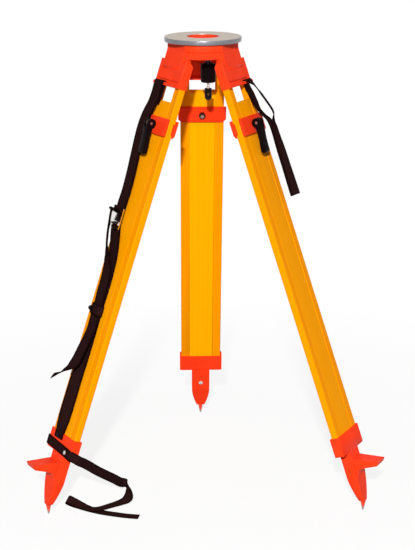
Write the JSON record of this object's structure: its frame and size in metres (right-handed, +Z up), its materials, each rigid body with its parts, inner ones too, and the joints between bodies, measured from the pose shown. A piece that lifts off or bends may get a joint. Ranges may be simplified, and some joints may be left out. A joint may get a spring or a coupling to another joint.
{
  "type": "surveying tripod",
  "caption": "Wooden surveying tripod with a round flat head, hinged telescopic legs with cam clamps, pedal feet with steel points, a fixing screw on a swinging arm and webbing straps.",
  "frame": {"origin": "centre of the head plate's flat top face, where the instrument stands", "axes": "+Z up, out of the head plate; +Y towards the rear leg; the left and right legs lie at 120 degrees either side"},
  "size_m": [0.776, 0.6757, 1.0119],
  "materials": {
    "orange_paint": "gloss paint on cast metal",
    "yellow_wood": "clear glossy coat over yellow stain",
    "head_metal": "turned and matt",
    "plated_steel": "zinc plated",
    "bare_steel": "turned",
    "black_plastic": "moulded",
    "webbing": "woven, coated",
    "bright_metal": "polished"
  },
  "bodies": {
    "head": {"head_plate": "head_metal", "head_casting": "orange_paint", "head_fasteners": "plated_steel"},
    "screw_arm": {"screw_arm": "plated_steel"},
    "carriage": {"carriage": "plated_steel"},
    "screw_lift": {"thrust_washer": "plated_steel"},
    "screw": {"fixing_screw": "plated_steel", "screw_knob": "black_plastic", "plumb_hook": "black_plastic"},
    "leg_upper_rear": {"leg_top_rear": "orange_paint", "hinge_pin_rear": "orange_paint", "rail_a_rear": "yellow_wood", "rail_b_rear": "yellow_wood", "leg_fasteners_rear": "plated_steel", "end_band_rear": "orange_paint"},
    "leg_lower_rear": {"centre_board_rear": "yellow_wood", "clamp_outer_rear": "orange_paint", "clamp_inner_rear": "orange_paint", "clamp_bolt_rear": "plated_steel", "foot_rear": "orange_paint", "steel_point_rear": "bare_steel", "foot_screw_rear": "plated_steel"},
    "lever_rear": {"clamp_lever_rear": "black_plastic", "lever_pin_rear": "plated_steel"},
    "leg_upper_left": {"leg_top_left": "orange_paint", "hinge_pin_left": "orange_paint", "rail_a_left": "yellow_wood", "rail_b_left": "yellow_wood", "leg_fasteners_left": "plated_steel", "end_band_left": "orange_paint", "shoulder_strap_upper": "webbing", "shoulder_strap_lower": "webbing", "strap_buckle": "bright_metal", "strap_keeper": "webbing", "closing_strap": "webbing"},
    "leg_lower_left": {"centre_board_left": "yellow_wood", "clamp_outer_left": "orange_paint", "clamp_inner_left": "orange_paint", "clamp_bolt_left": "plated_steel", "foot_left": "orange_paint", "steel_point_left": "bare_steel", "foot_screw_left": "plated_steel"},
    "lever_left": {"clamp_lever_left": "black_plastic", "lever_pin_left": "plated_steel"},
    "leg_upper_right": {"leg_top_right": "orange_paint", "hinge_pin_right": "orange_paint", "rail_a_right": "yellow_wood", "rail_b_right": "yellow_wood", "leg_fasteners_right": "plated_steel", "end_band_right": "orange_paint", "carry_strap": "webbing"},
    "leg_lower_right": {"centre_board_right": "yellow_wood", "clamp_outer_right": "orange_paint", "clamp_inner_right": "orange_paint", "clamp_bolt_right": "plated_steel", "foot_right": "orange_paint", "steel_point_right": "bare_steel", "foot_screw_right": "plated_steel"},
    "lever_right": {"clamp_lever_right": "black_plastic", "lever_pin_right": "plated_steel"}
  },
  "joints": [
    {"name": "arm_swing", "type": "hinge", "parent": "head", "child": "screw_arm", "pos_m": [-0.03637, 0.021, -0.0343], "axis": [0, 0, 1], "range_deg": [-20, 8]},
    {"name": "carriage_slide", "type": "slide", "parent": "screw_arm", "child": "carriage", "axis": [0.9142, -0.4053, 0], "range_m": [-0.016, 0.0075]},
    {"name": "screw_lift", "type": "slide", "parent": "carriage", "child": "screw_lift", "axis": [0, 0, 1], "range_m": [0, 0.017]},
    {"name": "screw_turn", "type": "hinge", "parent": "screw_lift", "child": "screw", "pos_m": [0.011, 0, -0.04], "axis": [0, 0, 1], "continuous": true},
    {"name": "fold_rear", "type": "hinge", "parent": "head", "child": "leg_upper_rear", "pos_m": [0, 0.065, -0.062], "axis": [1, 0, 0], "range_deg": [-20, 18]},
    {"name": "extend_rear", "type": "slide", "parent": "leg_upper_rear", "child": "leg_lower_rear", "axis": [0, 0.3419, -0.9397], "range_m": [0, 0.58]},
    {"name": "lever_rear", "type": "hinge", "parent": "leg_lower_rear", "child": "lever_rear", "pos_m": [0, 0.13271, -0.17464], "axis": [1, 0, 0], "range_deg": [0, 105]},
    {"name": "fold_left", "type": "hinge", "parent": "head", "child": "leg_upper_left", "pos_m": [-0.05629, -0.0325, -0.062], "axis": [-0.5, 0.866, 0], "range_deg": [-20, 18], "deforming": ["closing_strap"]},
    {"name": "extend_left", "type": "slide", "parent": "leg_upper_left", "child": "leg_lower_left", "axis": [-0.2959, -0.171, -0.9398], "range_m": [0, 0.58], "deforming": ["shoulder_strap_lower", "strap_keeper"]},
    {"name": "lever_left", "type": "hinge", "parent": "leg_lower_left", "child": "lever_left", "pos_m": [-0.11493, -0.06635, -0.17464], "axis": [-0.5, 0.866, 0], "range_deg": [0, 105]},
    {"name": "fold_right", "type": "hinge", "parent": "head", "child": "leg_upper_right", "pos_m": [0.05629, -0.0325, -0.062], "axis": [-0.5, -0.866, 0], "range_deg": [-20, 18]},
    {"name": "extend_right", "type": "slide", "parent": "leg_upper_right", "child": "leg_lower_right", "axis": [0.2959, -0.171, -0.9398], "range_m": [0, 0.58]},
    {"name": "lever_right", "type": "hinge", "parent": "leg_lower_right", "child": "lever_right", "pos_m": [0.11493, -0.06635, -0.17464], "axis": [-0.5, -0.866, 0], "range_deg": [0, 105]}
  ]
}
